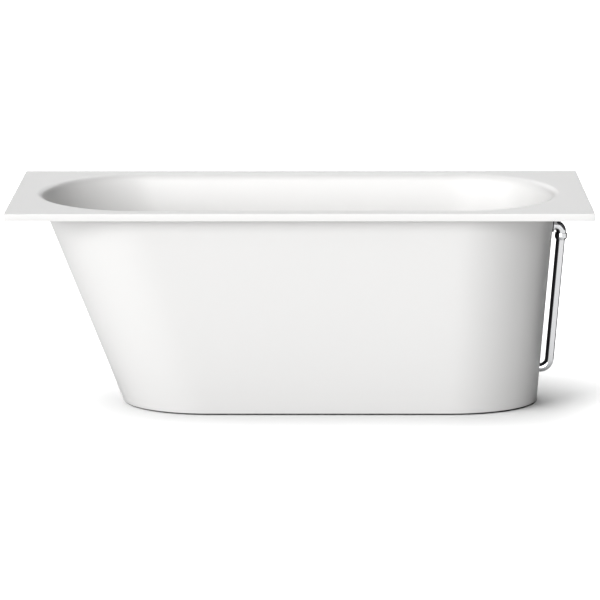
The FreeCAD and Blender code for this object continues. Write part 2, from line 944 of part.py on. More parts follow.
def build_elbow():
    """Cast elbow: spigot through the wall, flange, tight bend, and a socket for the pipe."""
    drop = size.elbow_bend
    bend_start = (tube_offset - size.elbow_bend, ZERO)
    bend_end = (tube_offset, -drop)
    middle = (tube_offset - size.elbow_bend, -drop)
    pieces = []
    way_start = -spigot_reach - size.cut_overrun
    way_end = size.socket_top + size.cut_overrun
    for label, radius, start, end in (
        ("elbow_core", size.elbow_radius, -spigot_reach, size.socket_bottom),
        ("elbow_way", size.elbow_bore, way_start, way_end),
    ):
        points = ((start, ZERO), bend_start, bend_end, (tube_offset, -end), middle)
        bar = piped(label, "XZ_Plane", "YZ_Plane", points, (ZERO, ZERO), (radius,), start)
        pieces.append(place(bar, overflow_wall, ZERO, overflow_height, wall_lean))
    core, way = pieces
    flange = on_wall(ring, "elbow_flange_ring", ZERO, size.elbow_flange_radius, washer_face, flange_face)
    c = cosine(wall_lean)
    s = sine(wall_lean)
    axis_x = overflow_wall + tube_offset * c
    axis_z = overflow_height - tube_offset * s
    socket_axis = {"x": axis_x, "z": axis_z, "lean": wall_lean}
    socket_sizes = (ZERO, socket_radius, -size.socket_bottom, -size.socket_top)
    socket = ring("elbow_socket", *socket_sizes, **socket_axis)
    bore_low = -size.socket_bottom - size.cut_overrun
    bore_high = -size.socket_bottom + size.socket_insertion
    socket_bore = ring("elbow_socket_bore", ZERO, tube_socket_radius, bore_low, bore_high, **socket_axis)
    hollowed = cut(
        "elbow_hollow", fuse("elbow_solid", core, flange, socket), fuse("elbow_bores", way, socket_bore)
    )
    hub_end = -spigot_reach - size.bridge_nose
    bridge_top = -spigot_reach + size.bridge_thickness
    hub = on_wall(ring, "bridge_hub", ZERO, size.bridge_hub_radius, hub_end, bridge_top)
    arm = box(
        "bridge_arm",
        -size.bridge_hub_radius / 2,
        -size.elbow_radius + size.thread_gap,
        -spigot_reach,
        size.bridge_hub_radius,
        (size.elbow_radius - size.thread_gap) * 2,
        size.bridge_thickness,
    )
    frame = group("bridge_arm_frame", [arm])
    place(frame, overflow_wall, ZERO, overflow_height, outward_lean)
    hole_radius = size.screw_radius + size.screw_hole_gap
    hole_low = hub_end - size.cut_overrun
    hole = on_wall(ring, "bridge_hole", ZERO, hole_radius, hole_low, bridge_top + size.cut_overrun)
    finish("overflow_elbow", cut("overflow_elbow", fuse("elbow_with_bridge", hollowed, hub, frame), hole))

    seal_bottom = -size.socket_bottom - size.elbow_seal_length
    seal = (tube_socket_radius, socket_radius, seal_bottom, -size.socket_bottom)
    finish("elbow_seal", ring("elbow_seal", *seal, **socket_axis))
    nut_inner = socket_radius + size.nut_play
    nut_bore = size.tube_radius + size.nut_play
    band_bottom = -size.collar_shoulder - size.collar_band
    nut_bottom = band_bottom - size.collar_taper
    finish(
        "overflow_nut",
        lathe(
            "overflow_nut",
            (
                (nut_inner, -size.collar_top),
                (nut_inner, seal_bottom),
                (nut_bore, seal_bottom),
                (nut_bore, nut_bottom),
                (nut_bore + size.collar_end_wall, nut_bottom),
                (nut_inner + size.collar_wall, band_bottom),
                (nut_inner + size.collar_wall, -size.collar_shoulder),
                (nut_inner + size.collar_top_wall, -size.collar_top),
            ),
            **socket_axis,
        ),
    )


def build_overflow_seals(hull):
    """Rubber pieces on the wall, whose faces follow the curved wall that they are pressed on."""
    spigot = size.elbow_radius + size.washer_gap
    outer_sizes = (spigot, size.elbow_flange_radius, -size.washer_bite, washer_face)
    outer = on_wall(ring, "outer_washer_form", *outer_sizes)
    finish("overflow_outer_washer", cut("overflow_outer_washer", outer, hull))
    inner_sizes = (spigot, size.inner_washer_radius, inner_face, -size.wall + size.washer_bite / 2)
    inner = on_wall(ring, "inner_washer_form", *inner_sizes)
    finish("overflow_inner_washer", cut("overflow_inner_washer", inner, hull))
    inside = right_wall(leg_height) - size.wall
    form = lathe(
        "grommet_form",
        (
            (tube_socket_radius, inside - size.grommet_flange),
            (hull_bore_radius + size.grommet_margin, inside - size.grommet_flange),
            (hull_bore_radius + size.grommet_margin, inside + size.grommet_bite),
            (hull_bore_radius - size.thread_gap, inside + size.grommet_bite),
            (hull_bore_radius - size.thread_gap, inside + size.wall - size.grommet_recess),
            (tube_socket_radius, inside + size.wall - size.grommet_recess),
        ),
        z=leg_height,
        lean=RIGHT_ANGLE,
    )
    finish("skirt_grommet", cut("skirt_grommet", form, hull))


def build_cover():
    """Overflow cover inside the basin: a shallow cup on a centre screw, with slots along its lower rim."""
    backnut = (size.elbow_radius + size.tube_fit_gap, size.backnut_radius, backnut_face, inner_face)
    finish("overflow_backnut", on_wall(ring, "overflow_backnut", *backnut))
    hub_end = -spigot_reach - size.bridge_nose
    inside = hub_end - size.cover_boss
    outside = inside - size.cover_skin
    rim = inside + size.cover_depth - size.cover_skin
    body = on_wall(
        lathe,
        "overflow_cover",
        (
            (size.screw_radius + size.nut_play, outside),
            (size.cover_radius - size.cover_skin, outside),
            (size.cover_radius, outside + size.cover_skin),
            (size.cover_radius, rim),
            (size.cover_radius - size.cover_skin, rim),
            (size.cover_radius - size.cover_skin, inside),
            (size.cover_boss_radius, inside),
            (size.cover_boss_radius, hub_end),
            (size.screw_radius + size.nut_play, hub_end),
        ),
    )
    doc.recompute()
    slot = new_sketch(body, "XY_Plane", "cover_slot_outline", rim - size.cover_slot_depth)
    half = size.cover_slot / 2
    near = size.cover_radius - size.cover_skin * 2
    far = size.cover_radius + size.cut_overrun
    draw_rectangle(slot, near, -half, far, half)
    pocket = body.newObject("PartDesign::Pocket", "cover_slot")
    pocket.Profile = slot
    pocket.Reversed = True
    bind(pocket, "Length", size.cover_slot_depth + size.cut_overrun)
    for name, turned_back in (("cover_slots_one_way", False), ("cover_slots_other_way", True)):
        pattern = body.newObject("PartDesign::PolarPattern", name)
        pattern.Originals = [pocket]
        pattern.Axis = (slot, ["N_Axis"])
        pattern.Reversed = turned_back
        pattern.Occurrences = (SLOT_COUNT + 1) // 2
        bind(pattern, "Angle", size.cover_slot_spacing * (SLOT_COUNT // 2))
        body.Tip = pattern
    finish("overflow_cover", body)

    finish(
        "overflow_screw",
        on_wall(
            lathe,
            "overflow_screw",
            (
                (ZERO, outside - size.screw_head + size.screw_key_depth),
                (size.screw_key_radius, outside - size.screw_head + size.screw_key_depth),
                (size.screw_key_radius, outside - size.screw_head),
                (size.screw_head_radius - size.screw_key_depth, outside - size.screw_head),
                (size.screw_head_radius, outside - size.screw_key_depth),
                (size.screw_head_radius, outside),
                (size.screw_radius, outside),
                (size.screw_radius, outside + size.screw_length),
                (ZERO, outside + size.screw_length),
            ),
        ),
    )


# Plug: rides up on its stem in the sealed click cartridge

plug_bottom = size.floor_height + size.plug_lift


def build_plug():
    finish(
        "plug_cap",
        lathe(
            "plug_cap",
            (
                (ZERO, plug_bottom),
                (size.plug_radius, plug_bottom),
                (size.plug_radius, plug_bottom + size.plug_edge),
                (size.plug_radius - size.plug_crown, plug_bottom + size.plug_edge + size.plug_crown / 2),
                (size.plug_radius / 2, plug_bottom + size.plug_edge + size.plug_crown),
                (ZERO, plug_bottom + size.plug_edge + size.plug_crown),
            ),
            x=waste_place,
        ),
    )
    finish(
        "plug_seal",
        ring(
            "plug_seal",
            size.plug_seal_inner_radius,
            size.plug_seal_radius,
            seal_seat + size.plug_play,
            plug_bottom,
            x=waste_place,
        ),
    )
    stem_bottom = plug_bottom - size.stem_length
    stem = ring("plug_stem", ZERO, size.stem_radius, stem_bottom, plug_bottom, x=waste_place)
    finish("plug_stem", stem)
    head_top = spider_top + size.cartridge_head
    finish(
        "click_cartridge",
        lathe(
            "click_cartridge",
            (
                (ZERO, head_top - size.cartridge_length - size.cartridge_head),
                (size.cartridge_radius, head_top - size.cartridge_length - size.cartridge_head),
                (size.cartridge_radius, spider_top),
                (size.cartridge_head_radius, spider_top),
                (size.cartridge_head_radius, head_top),
                (size.stem_radius + size.plug_play, head_top),
                (size.stem_radius + size.plug_play, stem_bottom - size.plug_play),
                (ZERO, stem_bottom - size.plug_play),
            ),
            x=waste_place,
        ),
    )


# Trap: a shallow U bend with a union at each end, and an outlet that turns back and down to the floor

trap_top = tail_bottom - size.trap_washer_thickness
trap_bend_height = trap_top - size.trap_straight
riser_place = waste_place - size.trap_bend * 2
riser_top = trap_top + size.riser_thread
outlet_start = riser_top + size.trap_washer_thickness
outlet_height = outlet_start + size.outlet_rise
drop_mouth = size.outlet_reach - size.drop_socket_depth
drop_shoulder = size.outlet_reach + size.drop_socket_shoulder
drop_place = drop_shoulder + size.outlet_bend


def union_nut(label, x, thread_end, collar_face, side):
    """Six-sided union nut: its thread starts at thread_end, and its shoulder bears on a collar's face.

    The side is 1 where the shoulder is above the thread and -1 where it is below.
    """
    shoulder_end = collar_face + size.trap_nut_shoulder * side
    low, high = (thread_end, shoulder_end) if side > 0 else (shoulder_end, thread_end)
    bar = hexagon(f"{label}_bar", size.trap_nut_across, high - low, x=x, z=low)
    thread_low = low - size.cut_overrun if side > 0 else collar_face
    thread_high = collar_face if side > 0 else high + size.cut_overrun
    thread = ring(f"{label}_thread", ZERO, size.tail_radius + size.thread_gap, thread_low, thread_high, x=x)
    bore_radius = size.trap_pipe_radius + size.nut_play
    bore = ring(f"{label}_bore", ZERO, bore_radius, low - size.cut_overrun, high + size.cut_overrun, x=x)
    finish(label, cut(label, bar, fuse(f"{label}_hole", thread, bore)))


def trap_form(label, radius, extra):
    """The U of the trap, from its inlet down and up again to its riser's end."""
    middle = waste_place - size.trap_bend
    points = (
        (waste_place, trap_top + extra),
        (waste_place, trap_bend_height),
        (riser_place, trap_bend_height),
        (riser_place, riser_top + extra),
        (middle, trap_bend_height),
    )
    section_place = (waste_place, ZERO)
    return piped(label, "XZ_Plane", "XY_Plane", points, section_place, (radius,), trap_top + extra)


def outlet_form(label, radius, extra):
    """The outlet elbow's way: up from the riser and round to the back."""
    bend_start = outlet_height - size.outlet_bend
    points = (
        (ZERO, outlet_start - extra),
        (ZERO, bend_start),
        (size.outlet_bend, outlet_height),
        (size.outlet_reach + extra, outlet_height),
        (size.outlet_bend, bend_start),
    )
    form = piped(label, "YZ_Plane", "XY_Plane", points, (ZERO, ZERO), (radius,), outlet_start - extra)
    return place(form, x=riser_place)


def drop_form(label, radius, extra):
    """The way down through the floor: up from its foot and round to meet the outlet's spigot."""
    bend_start = outlet_height - size.outlet_bend
    points = (
        (drop_place, size.drop_foot - extra),
        (drop_place, bend_start),
        (drop_place - size.outlet_bend, outlet_height),
        (size.outlet_reach - extra, outlet_height),
        (drop_place - size.outlet_bend, bend_start),
    )
    section_place = (ZERO, drop_place)
    form = piped(label, "YZ_Plane", "XY_Plane", points, section_place, (radius,), size.drop_foot - extra)
    return place(form, x=riser_place)


def spigot_ring(label, radius, low, high):
    """A round bar about the outlet's spigot, between two places along its way to the back."""
    bar = ring(label, ZERO, radius, low, high)
    return place(bar, riser_place, ZERO, outlet_height, RIGHT_ANGLE, TOWARDS_HEAD)


def build_trap():
    washer = (size.tail_bore, size.tail_radius)
    finish("trap_washer", ring("trap_washer", *washer, trap_top, tail_bottom, x=waste_place))
    inlet_collar = trap_top - size.trap_collar
    union_nut("trap_nut", waste_place, tail_bottom + size.trap_nut_grip, inlet_collar, -1)
    core = trap_form("trap_core", size.trap_pipe_radius, ZERO)
    way = trap_form("trap_way", size.trap_bore, size.cut_overrun)
    collar = ring("trap_inlet_collar", ZERO, size.tail_radius, inlet_collar, trap_top, x=waste_place)
    thread = ring("trap_riser_thread", ZERO, size.tail_radius, trap_top, riser_top, x=riser_place)
    finish("trap_bend", cut("trap_bend", fuse("trap_solid", core, collar, thread), way))

    finish("outlet_washer", ring("outlet_washer", *washer, riser_top, outlet_start, x=riser_place))
    outlet_collar = outlet_start + size.trap_collar
    union_nut("outlet_nut", riser_place, riser_top - size.trap_nut_grip, outlet_collar, 1)
    elbow = outlet_form("outlet_core", size.trap_pipe_radius, ZERO)
    elbow_way = outlet_form("outlet_way", size.trap_bore, size.cut_overrun)
    elbow_collar = ring("outlet_collar", ZERO, size.tail_radius, outlet_start, outlet_collar, x=riser_place)
    finish("outlet_elbow", cut("outlet_elbow", fuse("outlet_solid", elbow, elbow_collar), elbow_way))

    drop = drop_form("drop_core", size.trap_pipe_radius, ZERO)
    drop_way = drop_form("drop_way", size.trap_bore, size.cut_overrun)
    socket = spigot_ring("drop_socket", size.drop_socket_radius, drop_mouth, drop_shoulder)
    seat_radius = size.trap_pipe_radius + size.drop_fit_gap
    seat = spigot_ring("drop_seat", seat_radius, drop_mouth - size.cut_overrun, size.outlet_reach)
    drop_hole = fuse("drop_hole", drop_way, seat)
    finish("floor_elbow", cut("floor_elbow", fuse("drop_solid", drop, socket), drop_hole))


# Supports: a board under the floor, two channels across it and four levelling feet

board_bottom = floor_bottom - size.board_thickness
rail_bottom = board_bottom - size.rail_depth
web_bottom = board_bottom - size.rail_sheet
rail_nut_bottom = web_bottom - size.rail_nut_height
locknut_bottom = rail_nut_bottom - size.locknut_height
stud_hole = size.stud_radius + size.stud_hole_gap
stud_top = floor_bottom - size.stud_end_gap
board_left = size.board_end_gap - foot_left
board_right = riser_place - size.drop_socket_radius - size.board_trap_gap
board_half_width = foot_half_width - size.board_side_gap
rail_places = {"left": board_left + size.rail_inset, "right": board_right - size.rail_inset}
foot_row = board_half_width - size.foot_inset
screw_row = foot_row - size.rail_screw_inset
screw_steps = (-1, 0, 1)


def pocket_up(body, name, height, depth, circles):
    """Round pockets upwards from a height, at (x, y, radius)."""
    sketch = new_sketch(body, "XY_Plane", f"{name}_outline", height)
    for x, y, radius in circles:
        draw_circle(sketch, x, y, radius)
    pocket = body.newObject("PartDesign::Pocket", name)
    pocket.Profile = sketch
    pocket.Reversed = True
    bind(pocket, "Length", depth)


def foot_places():
    for rail in rail_places.values():
        for side in (-1, 1):
            yield rail, foot_row * side


def screw_places():
    for rail in rail_places.values():
        for step in screw_steps:
            yield rail, screw_row * step if step else ZERO


def build_board():
    body = new_body("base_board")
    outline = new_sketch(body, "XY_Plane", "board_outline", board_bottom)
    draw_rectangle(outline, board_left, -board_half_width, board_right, board_half_width)
    pad = body.newObject("PartDesign::Pad", "board_sheet")
    pad.Profile = outline
    bind(pad, "Length", size.board_thickness)
    halfway = floor_bottom.value - size.board_thickness.value / 2

    def upright(bounds):
        return bounds.ZMin < halfway < bounds.ZMax

    round_edges(body, "board_corners", pad, size.board_corner, upright)
    depth = stud_top + size.rail_sheet - board_bottom
    pocket_up(body, "stud_wells", board_bottom, depth, [(x, y, stud_hole) for x, y in foot_places()])
    pilot = size.rail_screw_radius + size.pilot_gap
    pilots = [(x, y, pilot) for x, y in screw_places()]
    pocket_up(body, "screw_pilots", board_bottom, size.rail_screw_bite + size.rail_screw_gap, pilots)
    finish("base_board", body)


def build_rail(name, x):
    """Channel of bent steel, open below, with holes for its studs and screws."""
    body = new_body(f"support_rail_{name}")
    profile = new_sketch(body, "XZ_Plane", f"rail_profile_{name}")
    outside = size.rail_width / 2
    inside = outside - size.rail_sheet
    draw_outline(
        profile,
        (
            (x - outside, rail_bottom),
            (x - inside, rail_bottom),
            (x - inside, web_bottom),
            (x + inside, web_bottom),
            (x + inside, rail_bottom),
            (x + outside, rail_bottom),
            (x + outside, board_bottom),
            (x - outside, board_bottom),
        ),
    )
    pad = body.newObject("PartDesign::Pad", f"rail_channel_{name}")
    pad.Profile = profile
    pad.Midplane = True
    bind(pad, "Length", (board_half_width + size.rail_overhang) * 2)
    holes = [(x, foot_row * side, stud_hole) for side in (-1, 1)]
    screw_hole = size.rail_screw_radius + size.rail_screw_gap
    for step in screw_steps:
        holes.append((x, screw_row * step if step else ZERO, screw_hole))
    pocket_up(body, f"rail_holes_{name}", web_bottom, size.rail_sheet + size.cut_overrun, holes)
    finish(f"support_rail_{name}", body)


def build_foot(name, x, y):
    """Threaded stud with a key collar, standing in the socket of a round pad."""
    key_low = size.pad_boss_height + size.nut_play
    key_high = key_low + size.stud_key_height
    rod = lathe(
        f"stud_rod_{name}",
        (
            (ZERO, size.pad_socket_floor + size.pad_fit_gap),
            (size.stud_neck_radius, size.pad_socket_floor + size.pad_fit_gap),
            (size.stud_neck_radius, key_low),
            (size.stud_radius, key_high),
            (size.stud_radius, stud_top - size.stud_chamfer),
            (size.stud_radius - size.stud_chamfer, stud_top),
            (ZERO, stud_top),
        ),
        x,
        y,
    )
    key = hexagon(f"stud_key_{name}", size.stud_key_across, size.stud_key_height, x, y, key_low)
    finish(f"foot_stud_{name}", fuse(f"foot_stud_{name}", rod, key))
    socket = size.stud_neck_radius + size.pad_fit_gap
    pad = lathe(
        f"foot_pad_{name}",
        (
            (ZERO, ZERO),
            (size.pad_radius, ZERO),
            (size.pad_radius, size.pad_edge),
            (size.pad_radius - size.pad_slope, size.pad_shoulder),
            (size.pad_boss_radius + size.pad_slope, size.pad_shoulder),
            (size.pad_boss_radius, size.pad_boss_height),
            (socket, size.pad_boss_height),
            (socket, size.pad_socket_floor),
            (ZERO, size.pad_socket_floor),
        ),
        x,
        y,
    )
    finish(f"foot_pad_{name}", pad)


def build_nuts(label, low, height):
    """One nut on every stud."""
    nuts = []
    for index, (x, y) in enumerate(foot_places(), 1):
        bar = hexagon(f"{label}_bar_{index}", size.rail_nut_across, height, x, y, low)
        bore_radius = size.stud_radius + size.stud_fit_gap
        bore_low = low - size.cut_overrun
        bore_high = low + height + size.cut_overrun
        bore = ring(f"{label}_bore_{index}", ZERO, bore_radius, bore_low, bore_high, x, y)
        nuts.append(cut(f"{label}_{index}", bar, bore))
    finish(label, group(label, nuts))


def build_rail_screws():
    screws = []
    head_bottom = web_bottom - size.rail_screw_head
    for index, (x, y) in enumerate(screw_places(), 1):
        corners = (
            (ZERO, head_bottom),
            (size.rail_screw_head_radius, head_bottom),
            (size.rail_screw_head_radius, web_bottom),
            (size.rail_screw_radius, web_bottom),
            (size.rail_screw_radius, board_bottom + size.rail_screw_bite),
            (ZERO, board_bottom + size.rail_screw_bite),
        )
        screws.append(lathe(f"rail_screw_{index}", corners, x, y))
    finish("rail_screws", group("rail_screws", screws))


def build_supports():
    build_board()
    for name, x in rail_places.items():
        build_rail(name, x)
    build_rail_screws()
    build_nuts("rail_nuts", rail_nut_bottom, size.rail_nut_height)
    build_nuts("foot_locknuts", locknut_bottom, size.locknut_height)
    for name, (end, side) in CORNERS.items():
        build_foot(name, rail_places[end], foot_row * side)


def check_and_write():
    """Stop on any failed object or bad shape, and then write every piece to a file of its own name."""
    doc.recompute()
    for thing in doc.Objects:
        if "Invalid" in thing.State or "Error" in thing.State:
            raise RuntimeError(f"{thing.Label} has failed")
    for label, thing in finished.items():
        if thing.Shape.isNull() or not thing.Shape.isValid():
            raise RuntimeError(f"{label} has no valid shape")
    os.makedirs("parts", exist_ok=True)
    for label, thing in finished.items():
        thing.Shape.exportStep(f"parts/{label}.step")


hull = build_tub()
build_waste()
build_tube()
build_elbow()
build_overflow_seals(hull)
build_cover()
build_plug()
build_trap()
build_supports()
check_and_write()
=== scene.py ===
import json
import math

import bmesh
import bpy
import numpy as np
from mathutils import Matrix, Vector


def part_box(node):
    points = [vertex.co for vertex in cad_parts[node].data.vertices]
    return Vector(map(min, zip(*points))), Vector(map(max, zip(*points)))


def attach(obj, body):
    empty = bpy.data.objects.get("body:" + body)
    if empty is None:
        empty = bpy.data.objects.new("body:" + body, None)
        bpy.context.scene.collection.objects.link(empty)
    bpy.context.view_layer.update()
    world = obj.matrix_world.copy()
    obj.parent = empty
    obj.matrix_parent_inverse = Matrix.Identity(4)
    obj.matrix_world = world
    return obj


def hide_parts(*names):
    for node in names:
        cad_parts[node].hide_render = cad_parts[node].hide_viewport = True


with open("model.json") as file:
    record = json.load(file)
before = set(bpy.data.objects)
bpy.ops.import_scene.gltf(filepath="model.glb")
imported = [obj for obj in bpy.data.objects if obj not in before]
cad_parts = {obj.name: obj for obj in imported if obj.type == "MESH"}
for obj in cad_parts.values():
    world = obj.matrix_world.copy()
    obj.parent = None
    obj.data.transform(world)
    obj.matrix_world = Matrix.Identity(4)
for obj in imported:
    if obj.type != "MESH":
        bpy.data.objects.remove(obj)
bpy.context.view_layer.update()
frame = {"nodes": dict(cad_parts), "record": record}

nodes = frame["nodes"]

# Camera: the photograph's viewpoint, found from the deck's corners and the slab's edges

CAMERA_PLACE = (0.0618, -9.0852, 2.1917)
CAMERA_PITCH_DOWN = math.radians(11.827)
CAMERA_YAW = math.radians(-0.394)
CAMERA_ROLL = math.radians(-0.091)
CAMERA_LENS_MM = 197.09
CAMERA_SENSOR_MM = 36.0


def add_camera():
    forward = Vector(
        (
            math.sin(CAMERA_YAW) * math.cos(CAMERA_PITCH_DOWN),
            math.cos(CAMERA_YAW) * math.cos(CAMERA_PITCH_DOWN),
            -math.sin(CAMERA_PITCH_DOWN),
        )
    )
    level_right = Vector((math.cos(CAMERA_YAW), -math.sin(CAMERA_YAW), 0.0))
    level_up = level_right.cross(forward)
    right = level_right * math.cos(CAMERA_ROLL) + level_up * math.sin(CAMERA_ROLL)
    up = level_up * math.cos(CAMERA_ROLL) - level_right * math.sin(CAMERA_ROLL)
    data = bpy.data.cameras.new("camera")
    data.lens = CAMERA_LENS_MM
    data.sensor_width = CAMERA_SENSOR_MM
    camera = bpy.data.objects.new("camera", data)
    turn = Matrix((right, up, -forward)).transposed().to_4x4()
    camera.matrix_world = Matrix.Translation(CAMERA_PLACE) @ turn
    bpy.context.scene.collection.objects.link(camera)
    bpy.context.scene.camera = camera


# Materials

# The part of a noise's range that is spread over a colour or a roughness
NOISE_LOW = 0.3
NOISE_HIGH = 0.7

PLAIN_DETAIL = 2.0
FINE_DETAIL = 4.0
GRAIN_DETAIL = 6.0
EVEN = (1.0, 1.0, 1.0)

# Painted dark reflections on the chrome outside the vessel: the ways in which each is painted dark, with its
# edges: towards the wall, on the outside of the elbow's bend, and up where the pipe turns under
WALL_PAINTED_REFLECTION = ((-1.0, 0.0, 0.0), (0.2, 0.4))
BEND_PAINTED_REFLECTION = ((0.54, -0.64, 0.54), (0.88, 0.905))
RISING_PAINTED_REFLECTION = ((0.0, 0.0, 1.0), (0.25, 0.5))
CHROME_PAINTED_REFLECTIONS = {
    "overflow_elbow": [WALL_PAINTED_REFLECTION, BEND_PAINTED_REFLECTION],
    "overflow_nut": [WALL_PAINTED_REFLECTION],
    "overflow_tube": [WALL_PAINTED_REFLECTION, RISING_PAINTED_REFLECTION],
}
# The colour of the painted dark reflections on the chrome
PAINTED_REFLECTION_COLOUR = (0.06, 0.06, 0.065)


class Look:
    """One material, built up from a colour, a roughness and a relief that each vary with a noise."""

    def __init__(self, name):
        self.material = bpy.data.materials.new(name)
        self.material.use_nodes = True
        self.tree = self.material.node_tree
        self.shader = self.tree.nodes["Principled BSDF"]

    def add(self, kind, **values):
        node = self.tree.nodes.new(kind)
        for key, value in values.items():
            setattr(node, key, value)
        return node

    def link(self, source, target):
        self.tree.links.new(source, target)

    def noise(self, scale, detail, stretch):
        """A noise in the object's own space, in metres."""
        mapping = self.add("ShaderNodeMapping")
        mapping.inputs["Scale"].default_value = stretch
        self.link(self.add("ShaderNodeTexCoord").outputs["Object"], mapping.inputs["Vector"])
        noise = self.add("ShaderNodeTexNoise")
        noise.inputs["Scale"].default_value = scale
        noise.inputs["Detail"].default_value = detail
        self.link(mapping.outputs["Vector"], noise.inputs["Vector"])
        return noise.outputs["Fac"]

    def spread(self, noise, low, high):
        """The middle of a noise's range, spread from low to high."""
        ramp = self.add("ShaderNodeMapRange")
        ramp.inputs["From Min"].default_value = NOISE_LOW
        ramp.inputs["From Max"].default_value = NOISE_HIGH
        ramp.inputs["To Min"].default_value = low
        ramp.inputs["To Max"].default_value = high
        self.link(noise, ramp.inputs["Value"])
        return ramp.outputs["Result"]

    def mix(self, factor, first, second):
        """A colour between two, where the first is a plain colour or another node's."""
        mix = self.add("ShaderNodeMix", data_type="RGBA")
        if isinstance(first, tuple):
            mix.inputs["A"].default_value = (*first, 1.0)
        else:
            self.link(first, mix.inputs["A"])
        mix.inputs["B"].default_value = (*second, 1.0)
        self.link(factor, mix.inputs["Factor"])
        return mix.outputs["Result"]

    def facing(self, way, edges):
        """How far the surface faces a way, in the object's own space."""
        dot = self.add("ShaderNodeVectorMath", operation="DOT_PRODUCT")
        self.link(self.add("ShaderNodeTexCoord").outputs["Normal"], dot.inputs[0])
        dot.inputs[1].default_value = way
        fade = self.add("ShaderNodeMapRange", interpolation_type="SMOOTHSTEP")
        fade.inputs["From Min"].default_value = edges[0]
        fade.inputs["From Max"].default_value = edges[1]
        self.link(dot.outputs["Value"], fade.inputs["Value"])
        return fade.outputs["Result"]

    def colour(self, low, high, scale, detail=PLAIN_DETAIL, stretch=EVEN, painted_reflections=()):
        """A colour that varies from low to high, with painted dark reflections where the surface faces given
        ways.
        """
        tint = self.mix(self.spread(self.noise(scale, detail, stretch), 0.0, 1.0), low, high)
        for way, edges in painted_reflections:
            # Paint a dark reflection where the surface faces this way
            tint = self.mix(self.facing(way, edges), tint, PAINTED_REFLECTION_COLOUR)
        self.link(tint, self.shader.inputs["Base Color"])

    def roughness(self, low, high, scale, detail=PLAIN_DETAIL):
        """A roughness that varies from low to high."""
        rough = self.spread(self.noise(scale, detail, EVEN), low, high)
        self.link(rough, self.shader.inputs["Roughness"])

    def relief(self, height, scale, detail=PLAIN_DETAIL, stretch=EVEN):
        """Small relief of a height in metres."""
        bump = self.add("ShaderNodeBump")
        bump.inputs["Strength"].default_value = 1.0
        bump.inputs["Distance"].default_value = height
        self.link(self.noise(scale, detail, stretch), bump.inputs["Height"])
        self.link(bump.outputs["Normal"], self.shader.inputs["Normal"])

    def set(self, values):
        for name, value in values.items():
            self.shader.inputs[name].default_value = value


def solid_surface():
    """Smooth white solid surface with a silky gloss."""
    look = Look("solid_surface")
    look.colour((0.868, 0.864, 0.856), (0.874, 0.87, 0.862), scale=3.0)
    look.roughness(0.34, 0.37, scale=14.0)
    look.set({"IOR": 1.45})
    return look.material


def chrome(name, painted_reflections=()):
    """Polished chrome, with painted dark reflections where it faces the given ways."""
    look = Look(name)
    look.colour((0.83, 0.84, 0.86), (0.87, 0.87, 0.88), scale=20.0, painted_reflections=painted_reflections)
    look.roughness(0.035, 0.07, scale=60.0)
    look.relief(0.000004, scale=160.0)
    look.set({"Metallic": 1.0})
    return look.material


def brass():
    """Machined brass, with fine turning marks round upright pieces."""
    look = Look("machined_brass")
    look.colour((0.62, 0.43, 0.18), (0.76, 0.57, 0.28), scale=30.0)
    look.roughness(0.22, 0.38, scale=90.0)
    look.relief(0.00001, scale=900.0, stretch=(1.0, 1.0, 8.0))
    look.set({"Metallic": 1.0})
    return look.material


def rubber():
    look = Look("black_rubber")
    look.colour((0.02, 0.02, 0.021), (0.035, 0.035, 0.036), scale=80.0)
    look.roughness(0.55, 0.7, scale=150.0)
    look.relief(0.00002, scale=2500.0)
    return look.material


def moulded_plastic(name, dark, light, low_rough, high_rough):
    look = Look(name)
    look.colour(dark, light, scale=25.0)
    look.roughness(low_rough, high_rough, scale=60.0)
    look.relief(0.00002, scale=1800.0)
    return look.material


def white_plastic():
    return moulded_plastic("white_moulded_plastic", (0.74, 0.74, 0.72), (0.8, 0.8, 0.78), 0.35, 0.45)


def black_plastic():
    return moulded_plastic("black_moulded_plastic", (0.022, 0.022, 0.024), (0.04, 0.04, 0.042), 0.45, 0.55)


def plywood():
    """Birch plywood, with long grain along X."""
    look = Look("plywood")
    look.colour(
        (0.45, 0.29, 0.15),
        (0.68, 0.5, 0.31),
        scale=22.0,
        detail=GRAIN_DETAIL,
        stretch=(0.6, 9.0, 9.0),
    )
    look.roughness(0.55, 0.72, scale=50.0)
    look.relief(0.0001, scale=60.0, detail=GRAIN_DETAIL, stretch=(0.5, 12.0, 12.0))
    return look.material


def zinc_steel():
    look = Look("zinc_plated_steel")
    look.colour((0.5, 0.52, 0.55), (0.68, 0.69, 0.7), scale=45.0, detail=FINE_DETAIL)
    look.roughness(0.28, 0.45, scale=70.0, detail=FINE_DETAIL)
    look.relief(0.00001, scale=700.0)
    look.set({"Metallic": 1.0})
    return look.material


def make_materials():
    """The material of each slot."""
    return {
        "white_shell": solid_surface(),
        "chrome": chrome("polished_chrome"),
        "brass": brass(),
        "black_rubber": rubber(),
        "white_plastic": white_plastic(),
        "black_plastic": black_plastic(),
        "plywood": plywood(),
        "zinc_steel": zinc_steel(),
    }


def paint_nodes(materials):
    """Give every carried-over node the material of its slot, and the outside chrome its painted dark
    reflections.
    """
    slots = {part["node"]: part["material_slot"] for part in frame["record"]["subparts"]}
    for name, thing in nodes.items():
        material = materials[slots[name]]
        # The outside chrome gets its own material with painted dark reflections
        if name in CHROME_PAINTED_REFLECTIONS:
            material = chrome(f"{name}_chrome", CHROME_PAINTED_REFLECTIONS[name])
        thing.data.materials.clear()
        thing.data.materials.append(material)


# Tub: one smooth skin over the deck slab, the wall and the basin floor, whose glued seams can't be seen

